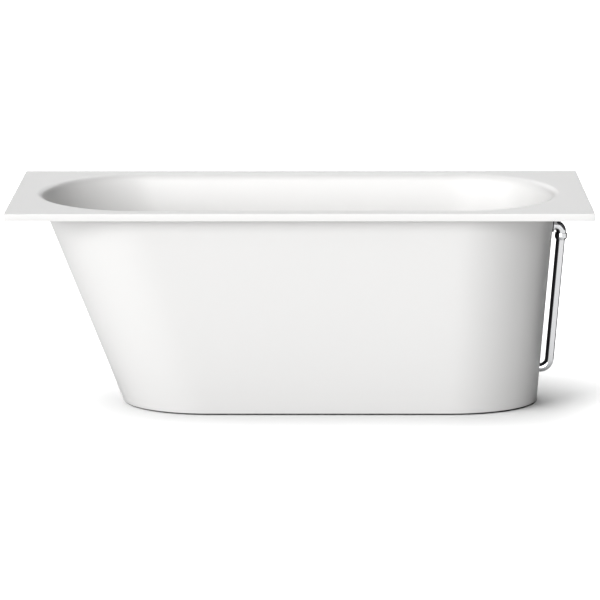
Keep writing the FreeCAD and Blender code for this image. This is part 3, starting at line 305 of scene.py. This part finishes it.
DECK_LOW, DECK_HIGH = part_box("deck_slab")
RIM_HEIGHT = DECK_HIGH.z
SLAB_BOTTOM = DECK_LOW.z
HALF_LENGTH = DECK_HIGH.x
HALF_WIDTH = DECK_HIGH.y
FOOT_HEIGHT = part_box("hull_wall")[0].z
FLOOR_BOTTOM, FLOOR_TOP = (corner.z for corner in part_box("basin_floor"))

# Left reach, right reach, half width, left nose and right nose of the hull's oval at its rim and at its foot
RIM_OVAL = np.array((0.734, 0.717, 0.299, 0.294, 0.281))
FOOT_OVAL = np.array((0.502, 0.671, 0.188, 0.244, 0.258))
WALL = 0.012
MOUTH_ROUND = 0.026
COVE_ROUND = 0.070
SLAB_ROUND = 0.0015
SKIRT_ROUND = 0.002

# How far from the ends of a straight stretch its support rings lie
SUPPORT = 0.002

WASTE_X = 0.52
RECESS_RADIUS = 0.0353
RECESS_DEPTH = 0.005
WASTE_RADIUS = 0.0245
BORE_RADIUS = 0.017
BORE_HEIGHTS = (0.505, 0.094)
BORE_HALF_DEPTH = 0.03
BORE_SIDES = 64

END_STEPS = 48
SIDE_STEPS = 14
CORNER_STEPS = 5
CORNER_SPREAD = math.radians(0.5)
WALL_STEPS = 12
SKIRT_STEPS = 24
LEVEL_STEPS = 4
MOUTH_STEPS = 14
COVE_STEPS = 18
EDGE_STEPS = 4
SMOOTH_ANGLE = math.radians(34)

# What a fan may run over by rounding, and the least length that is divided by
SLIGHT = 0.001
TINY = 1e-9


def oval_sizes(height, inset):
    """The hull's oval at a height, drawn in by inset."""
    share = (height - FOOT_HEIGHT) / (RIM_HEIGHT - FOOT_HEIGHT)
    return FOOT_OVAL + (RIM_OVAL - FOOT_OVAL) * share - inset


def rim_end(side):
    """Middle and nose of the rim's half ellipse at the right end, side 1, or the left end, side -1."""
    left, right, _half, nose_left, nose_right = oval_sizes(RIM_HEIGHT, 0.0)
    if side > 0:
        return right - nose_right, nose_right
    return nose_left - left, nose_left


def corner_angle(side):
    """The angle on the rim's oval whose ray from the end's middle meets the deck's corner."""
    middle, nose = rim_end(side)
    half = oval_sizes(RIM_HEIGHT, 0.0)[2]
    return math.atan2(HALF_WIDTH / half, (HALF_LENGTH - abs(middle)) / nose)


def quarter_turn():
    """The angles of a small edge round."""
    return [math.pi / 2 * step / EDGE_STEPS for step in range(EDGE_STEPS + 1)]


class Perimeter:
    """Places round the ovals: how far along the sides they are, and their direction on an end's ellipse."""

    def __init__(self):
        self.along = []
        self.cosine = []
        self.sine = []
        self.base = []
        self.normal = []
        for side, start in ((1, -math.pi / 2), (-1, math.pi / 2)):
            self.add_end(side, start)
            self.add_side(side)
        self.along = np.array(self.along)
        self.cosine = np.array(self.cosine)
        self.sine = np.array(self.sine)
        self.base = np.array(self.base)
        self.normal = np.array(self.normal)

    def add(self, along, cosine, sine, base, normal):
        self.along.append(along)
        self.cosine.append(cosine)
        self.sine.append(sine)
        self.base.append(base)
        self.normal.append(normal)

    def add_end(self, side, start):
        """One end's ellipse, with a fan of places at each of the deck's two corners."""
        turn = corner_angle(side)
        middle = 0.0 if side > 0 else math.pi
        corners = [middle - turn, middle + turn]
        plain = [start + math.pi * step / END_STEPS for step in range(END_STEPS + 1)]
        angles = [a for a in plain if min(abs(a - c) for c in corners) > CORNER_SPREAD * 2]
        for corner in corners:
            for step in range(CORNER_STEPS):
                share = step / (CORNER_STEPS - 1)
                angles.append(corner + CORNER_SPREAD * (share * 2 - 1))
        for angle in sorted(angles):
            fan = (angle - min(corners, key=lambda c: abs(angle - c))) / CORNER_SPREAD
            if abs(fan) <= 1.0 + SLIGHT:
                base, normal = self.corner_place(side, angle, fan)
            else:
                base, normal = self.edge_place(side, angle)
            self.add(1.0 if side > 0 else 0.0, math.cos(angle), math.sin(angle), base, normal)

    def corner_place(self, side, angle, fan):
        """A place at a corner of the deck, where the fan runs from -1 on one edge to 1 on the next."""
        upper = 1 if math.sin(angle) > 0 else -1
        base = (side * (HALF_LENGTH - SLAB_ROUND), upper * (HALF_WIDTH - SLAB_ROUND))
        same = side * upper > 0
        first = math.atan2(0 if same else upper, side if same else 0)
        turned = first + (fan + 1) / 2 * math.pi / 2
        return base, (math.cos(turned), math.sin(turned))

    def edge_place(self, side, angle):
        """The place on the deck's edge that a ray from the end's middle meets."""
        reach_x = HALF_LENGTH - SLAB_ROUND
        reach_y = HALF_WIDTH - SLAB_ROUND
        middle, nose = rim_end(side)
        ray_x = math.cos(angle) * nose
        ray_y = math.sin(angle) * oval_sizes(RIM_HEIGHT, 0.0)[2]
        to_side = (reach_x - abs(middle)) / max(abs(ray_x), TINY)
        to_edge = reach_y / max(abs(ray_y), TINY)
        base = (middle + ray_x * min(to_side, to_edge), ray_y * min(to_side, to_edge))
        if to_side < to_edge:
            return base, (side, 0.0)
        return base, (0.0, 1.0 if ray_y > 0 else -1.0)

    def add_side(self, side):
        """The straight side that follows an end: the back after the right end, the front after the left."""
        low, high = rim_end(-1)[0], rim_end(1)[0]
        for step in range(1, SIDE_STEPS):
            share = step / SIDE_STEPS
            along = 1.0 - share if side > 0 else share
            base = (low + (high - low) * along, side * (HALF_WIDTH - SLAB_ROUND))
            self.add(along, 0.0, float(side), base, (0.0, float(side)))

    def ring(self, height, inset):
        """Points of the hull's oval at a height."""
        left, right, half, nose_left, nose_right = oval_sizes(height, inset)
        low = nose_left - left
        high = right - nose_right
        nose = np.where(self.cosine > 0, nose_right, nose_left)
        x = low + (high - low) * self.along + nose * self.cosine
        return np.column_stack((x, half * self.sine, np.full(len(x), height)))

    def outward(self, height, inset):
        """Level normals of the hull's oval at a height."""
        _left, _right, half, nose_left, nose_right = oval_sizes(height, inset)
        nose = np.where(self.cosine > 0, nose_right, nose_left)
        normal = np.column_stack((self.cosine / nose, self.sine / half, np.zeros(len(nose))))
        return normal / np.linalg.norm(normal, axis=1)[:, None]

    def deck_ring(self, height, out):
        """Points of the deck's outline at a height, out from the middles of its edge rounds."""
        flat = self.base + self.normal * out
        return np.column_stack((flat, np.full(len(flat), height)))

    def hole_ring(self, ring, height, radius):
        """Points of the waste's circle, in the directions of a ring's points."""
        away = ring[:, :2] - np.array((WASTE_X, 0.0))
        away /= np.linalg.norm(away, axis=1)[:, None]
        flat = away * radius + np.array((WASTE_X, 0.0))
        return np.column_stack((flat, np.full(len(flat), height)))


def blend_rings(first, last, steps):
    """Rings on straight lines from first to last, both included, with a support ring near each."""
    length = np.linalg.norm(last - first, axis=1)[:, None]
    near = SUPPORT / length
    shares = [0.0, near] + [step / steps for step in range(1, steps)] + [1.0 - near, 1.0]
    return [first + (last - first) * share for share in shares]


def fillet_rings(corner, outward, slope, radius, steps, mouth):
    """Rings of a rolling fillet between the inner wall and a level plane, from the plane to the wall.

    The corner points are where wall and plane would meet, and slope is how far the wall leans out for its
    rise. The plane is the deck's top for the mouth, and otherwise the basin's floor.
    """
    lean = np.arctan(slope)
    root = np.sqrt(1.0 + slope * slope)
    up = 1 if mouth else -1
    rings = []
    for step in range(steps + 1):
        angle = up * math.pi / 2 + (math.pi / 2 - lean) * step / steps
        level = up * radius * (root - slope) + radius * np.cos(angle)
        ring = corner + outward * level[:, None]
        ring[:, 2] += radius * np.sin(angle) - up * radius
        rings.append(ring)
    return rings


def basin_rings(edge):
    """Rings from the waste up through the recess, the cove and the wall to the deck's top."""
    rim = edge.ring(RIM_HEIGHT, WALL)
    low = edge.ring(FLOOR_TOP, WALL)
    rim_out = edge.outward(RIM_HEIGHT, WALL)
    low_out = edge.outward(FLOOR_TOP, WALL)
    lean = (rim - low) / (RIM_HEIGHT - FLOOR_TOP)
    cove = fillet_rings(low, low_out, (lean * low_out).sum(axis=1), COVE_ROUND, COVE_STEPS, False)
    mouth = fillet_rings(rim, rim_out, (lean * rim_out).sum(axis=1), MOUTH_ROUND, MOUTH_STEPS, True)
    recess_floor = FLOOR_TOP - RECESS_DEPTH
    rings = [
        edge.hole_ring(cove[0], FLOOR_BOTTOM, WASTE_RADIUS),
        edge.hole_ring(cove[0], recess_floor, WASTE_RADIUS),
        edge.hole_ring(cove[0], recess_floor, RECESS_RADIUS),
        edge.hole_ring(cove[0], FLOOR_TOP, RECESS_RADIUS),
    ]
    rings += blend_rings(rings[-1], cove[0], LEVEL_STEPS)[1:-1]
    rings += cove
    rings += blend_rings(cove[-1], mouth[-1], WALL_STEPS)[1:-1]
    rings += mouth[::-1]
    return rings


def deck_rings(edge):
    """Rings over the deck's edge, from its top to its underside."""
    top = []
    bottom = []
    for angle in quarter_turn():
        rise = SLAB_ROUND * (1 - math.cos(angle))
        top.append(edge.deck_ring(RIM_HEIGHT - rise, SLAB_ROUND * math.sin(angle)))
        rise = SLAB_ROUND * (1 - math.sin(angle))
        bottom.append(edge.deck_ring(SLAB_BOTTOM + rise, SLAB_ROUND * math.cos(angle)))
    return top + bottom


def skirt_rings(edge, waste):
    """Rings from the deck's underside down the skirt, round its foot and up inside to the basin floor."""
    under = edge.ring(SLAB_BOTTOM, 0.0)
    foot = []
    for angle in quarter_turn():
        rise = SKIRT_ROUND * (1 - math.sin(angle))
        foot.append(edge.ring(FOOT_HEIGHT + rise, SKIRT_ROUND * (1 - math.cos(angle))))
    ceiling = edge.ring(FLOOR_BOTTOM, WALL)
    rings = blend_rings(under, foot[0], SKIRT_STEPS)[:-1]
    rings += foot
    rings += blend_rings(edge.ring(FOOT_HEIGHT, WALL), ceiling, LEVEL_STEPS)
    rings += blend_rings(ceiling, waste, LEVEL_STEPS)[1:-1]
    return rings


def tub_rings():
    """Every ring of the skin, from the waste up the basin, over the deck, down the skirt and up inside."""
    edge = Perimeter()
    basin = basin_rings(edge)
    deck = deck_rings(edge)
    skirt = skirt_rings(edge, basin[0])
    over_deck = blend_rings(basin[-1], deck[0], LEVEL_STEPS)[1:-1]
    under_deck = blend_rings(deck[-1], skirt[0], LEVEL_STEPS)[1:-1]
    return basin + over_deck + deck + under_deck + skirt


def bore_cutter(height, lean):
    """A round cutter through the right-hand wall at a height, leaning up from level."""
    mesh = bpy.data.meshes.new("bore")
    form = bmesh.new()
    bmesh.ops.create_cone(
        form,
        cap_ends=True,
        segments=BORE_SIDES,
        radius1=BORE_RADIUS,
        radius2=BORE_RADIUS,
        depth=BORE_HALF_DEPTH * 2,
    )
    form.to_mesh(mesh)
    form.free()
    cutter = bpy.data.objects.new("bore", mesh)
    bpy.context.scene.collection.objects.link(cutter)
    turn = Matrix.Rotation(math.pi / 2 + lean, 4, "Y")
    cutter.matrix_world = Matrix.Translation((oval_sizes(height, WALL / 2)[1], 0.0, height)) @ turn
    return cutter


def cut_bores(thing):
    """Bore the skin for the overflow's spigot, square to the wall, and for the pipe, level."""
    reach_low, reach_high = (oval_sizes(height, WALL / 2)[1] for height in (FOOT_HEIGHT, RIM_HEIGHT))
    wall_lean = math.atan((reach_high - reach_low) / (RIM_HEIGHT - FOOT_HEIGHT))
    for height, lean in zip(BORE_HEIGHTS, (wall_lean, 0.0)):
        cutter = bore_cutter(height, lean)
        boolean = thing.modifiers.new("bore", "BOOLEAN")
        boolean.operation = "DIFFERENCE"
        boolean.solver = "EXACT"
        boolean.object = cutter
        bpy.context.view_layer.update()
        cut = bpy.data.meshes.new_from_object(thing.evaluated_get(bpy.context.evaluated_depsgraph_get()))
        thing.modifiers.remove(boolean)
        thing.data = cut
        bpy.data.objects.remove(cutter)


def build_tub(material):
    rings = tub_rings()
    count = len(rings[0])
    faces = []
    for index in range(len(rings)):
        below = index * count
        above = (index + 1) % len(rings) * count
        for step in range(count):
            after = (step + 1) % count
            faces.append((below + step, below + after, above + after, above + step))
    mesh = bpy.data.meshes.new("tub_skin")
    mesh.from_pydata(np.vstack(rings).tolist(), [], faces)
    form = bmesh.new()
    form.from_mesh(mesh)
    bmesh.ops.recalc_face_normals(form, faces=form.faces)
    form.to_mesh(mesh)
    form.free()
    tub = bpy.data.objects.new("tub_skin", mesh)
    bpy.context.scene.collection.objects.link(tub)
    cut_bores(tub)
    tub.data.materials.clear()
    tub.data.materials.append(material)
    for face in tub.data.polygons:
        face.use_smooth = True
    tub.data.set_sharp_from_angle(angle=SMOOTH_ANGLE)
    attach(tub, "tub")
    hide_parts("deck_slab", "hull_wall", "basin_floor")


# Studio

MATT = {"Roughness": 0.9, "Specular IOR Level": 0.0}
FLOOR_REACH = 60.0

# The floor's grey to the camera, to what mirrors it and to what it lights. All are low, because its lamps are
# strong, so that what the object throws back hardly lightens its shadow
FLOOR_SEEN = 0.35
FLOOR_MIRRORED = 0.161
FLOOR_FELT = 0.075

# Turn from the front towards the left, rise, spread and strength of each lamp that lights all but the floor,
# and of each that lights the floor alone
LAMPS = {
    "key": (18, 12, 44, 2.5),
    "left": (62, 8, 30, 1.25),
    "top": (0, 52, 50, 0.59),
    "back": (180, 35, 50, 1.2),
}
FLOOR_LAMPS = {
    "floor_left": (60, 30, 40, 8.18),
    "floor_back": (135, 55, 70, 6.18),
    "floor_top": (0, 89, 60, 7.75),
}

# A dark card at the right, behind the pipe, for what mirrors it
CARD_X = 1.0
CARD_SPAN = (0.07, 0.9)
CARD_HEIGHT = 0.9
CARD_COLOUR = (0.02, 0.02, 0.02, 1.0)

# Middle and edges of the two white patches in the surroundings that chrome mirrors, and the grey of the rest
SCREEN = ((0.629, -0.777, 0.0), (0.3, 0.55))
CEILING = ((0.0, 0.0, 1.0), (0.5, 0.94))
ROOM_DARK = 0.03


def add_panel(name, corners, look):
    """A flat four-cornered piece of the studio."""
    mesh = bpy.data.meshes.new(name)
    mesh.from_pydata(corners, [], [(0, 1, 2, 3)])
    mesh.materials.append(look.material)
    panel = bpy.data.objects.new(name, mesh)
    bpy.context.scene.collection.objects.link(panel)
    return panel


def add_floor():
    look = Look("studio_floor")
    look.set(MATT)
    rays = look.add("ShaderNodeLightPath")
    colour = look.mix(rays.outputs["Is Glossy Ray"], (FLOOR_FELT,) * 3, (FLOOR_MIRRORED,) * 3)
    colour = look.mix(rays.outputs["Is Camera Ray"], colour, (FLOOR_SEEN,) * 3)
    look.link(colour, look.shader.inputs["Base Color"])
    sides = ((-1, -1), (1, -1), (1, 1), (-1, 1))
    return add_panel("floor", [(x * FLOOR_REACH, y * FLOOR_REACH, 0.0) for x, y in sides], look)


def add_card():
    """A dark card that only mirrors show."""
    look = Look("dark_card")
    look.set(MATT)
    look.set({"Base Color": CARD_COLOUR})
    near, far = CARD_SPAN
    sides = ((near, 0.0), (far, 0.0), (far, CARD_HEIGHT), (near, CARD_HEIGHT))
    card = add_panel("dark_card", [(CARD_X, y, z) for y, z in sides], look)
    card.visible_camera = False
    card.visible_diffuse = False
    card.visible_transmission = False
    card.visible_shadow = False


def add_world():
    """White to the camera, a white screen and ceiling in reflections, and no light of its own."""
    world = bpy.data.worlds.new("studio")
    bpy.context.scene.world = world
    world.use_nodes = True
    tree = world.node_tree

    def maths(operation, first, second):
        node = tree.nodes.new("ShaderNodeMath")
        node.operation = operation
        tree.links.new(first, node.inputs[0])
        tree.links.new(second, node.inputs[1])
        return node.outputs[0]

    def patch(way, edges):
        """How far a direction lies in a soft patch around a way."""
        dot = tree.nodes.new("ShaderNodeVectorMath")
        dot.operation = "DOT_PRODUCT"
        dot.inputs[1].default_value = way
        tree.links.new(place.outputs["Generated"], dot.inputs[0])
        fade = tree.nodes.new("ShaderNodeMapRange")
        fade.interpolation_type = "SMOOTHSTEP"
        fade.inputs["From Min"].default_value = edges[0]
        fade.inputs["From Max"].default_value = edges[1]
        fade.inputs["To Min"].default_value = ROOM_DARK
        tree.links.new(dot.outputs["Value"], fade.inputs["Value"])
        return fade.outputs["Result"]

    place = tree.nodes.new("ShaderNodeTexCoord")
    rays = tree.nodes.new("ShaderNodeLightPath")
    room = maths("MAXIMUM", patch(*SCREEN), patch(*CEILING))
    mirrored = maths("MULTIPLY", rays.outputs["Is Glossy Ray"], room)
    seen = maths("MAXIMUM", rays.outputs["Is Camera Ray"], rays.outputs["Is Transmission Ray"])
    background = tree.nodes["Background"]
    background.inputs["Color"].default_value = (1.0, 1.0, 1.0, 1.0)
    tree.links.new(maths("MAXIMUM", seen, mirrored), background.inputs["Strength"])


def lit(name, floor, state):
    """What a lamp lights: the floor alone, or all but the floor."""
    chosen = bpy.data.collections.new(name)
    chosen.objects.link(floor)
    chosen.collection_objects[0].light_linking.link_state = state
    return chosen


def add_lamps(lamps, receivers):
    for name, (turn, rise, spread, strength) in lamps.items():
        data = bpy.data.lights.new(name, "SUN")
        data.energy = strength
        data.angle = math.radians(spread)
        lamp = bpy.data.objects.new(name, data)
        away = Vector((0.0, -1.0, 0.0))
        away.rotate(Matrix.Rotation(math.radians(-rise), 3, "X"))
        away.rotate(Matrix.Rotation(math.radians(-turn), 3, "Z"))
        lamp.matrix_world = away.to_track_quat("Z", "Y").to_matrix().to_4x4()
        lamp.light_linking.receiver_collection = receivers
        bpy.context.scene.collection.objects.link(lamp)


bpy.context.scene.view_settings.view_transform = "Standard"
materials = make_materials()
paint_nodes(materials)
build_tub(materials["white_shell"])
add_card()
add_world()
floor = add_floor()
add_lamps(LAMPS, lit("all_but_floor", floor, "EXCLUDE"))
add_lamps(FLOOR_LAMPS, lit("floor_alone", floor, "INCLUDE"))
add_camera()
